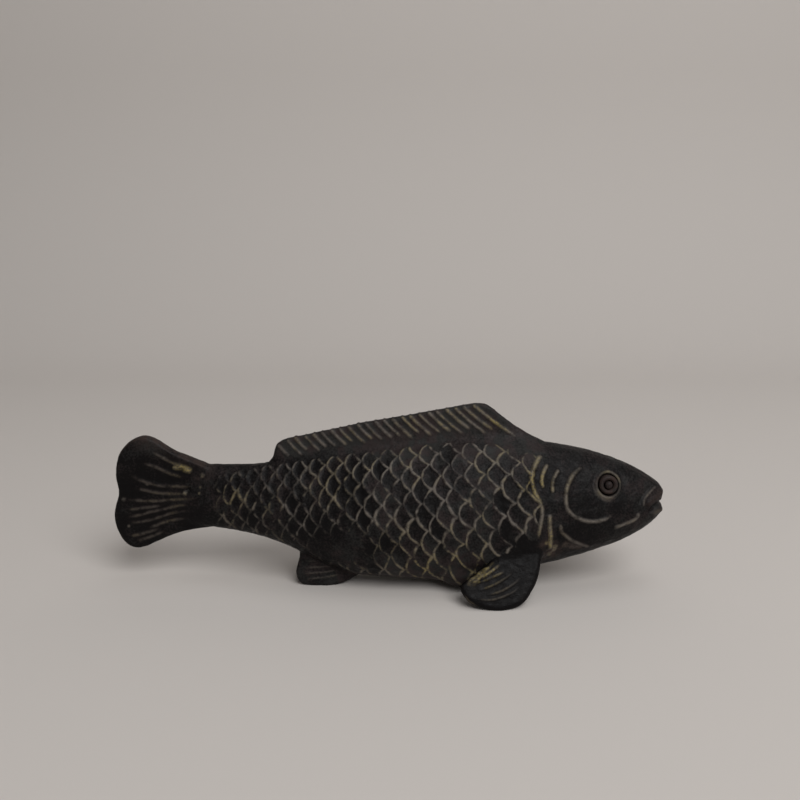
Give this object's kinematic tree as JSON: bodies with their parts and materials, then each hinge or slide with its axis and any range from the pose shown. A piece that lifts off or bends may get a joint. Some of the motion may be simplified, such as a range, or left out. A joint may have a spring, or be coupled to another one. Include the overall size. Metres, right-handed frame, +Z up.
{
  "type": "fish paperweight",
  "caption": "Cast iron paperweight in the form of a carp with a scaled body, which stands on its pectoral and pelvic fins.",
  "frame": {"origin": "on the floor under the middle of the overall box", "axes": "+X towards the fish's head, +Y towards its left side, +Z up"},
  "size_m": [0.2, 0.054, 0.0673],
  "materials": {
    "blackened_iron": "satin black patina with a pale gold wash left in the scale, gill and ray lines",
    "blackened_iron_fins": "satin black patina, rubbed brown at the edges",
    "eye_ring_bronze": "dark brown patina",
    "eye_pin_iron": "satin blue-black patina"
  },
  "bodies": {
    "root": {"body_casting": "blackened_iron", "left_pectoral_fin": "blackened_iron_fins", "right_pectoral_fin": "blackened_iron_fins", "left_pelvic_fin": "blackened_iron_fins", "right_pelvic_fin": "blackened_iron_fins", "left_eye_ring": "eye_ring_bronze", "right_eye_ring": "eye_ring_bronze", "left_eye_pin": "eye_pin_iron", "right_eye_pin": "eye_pin_iron"}
  },
  "joints": []
}
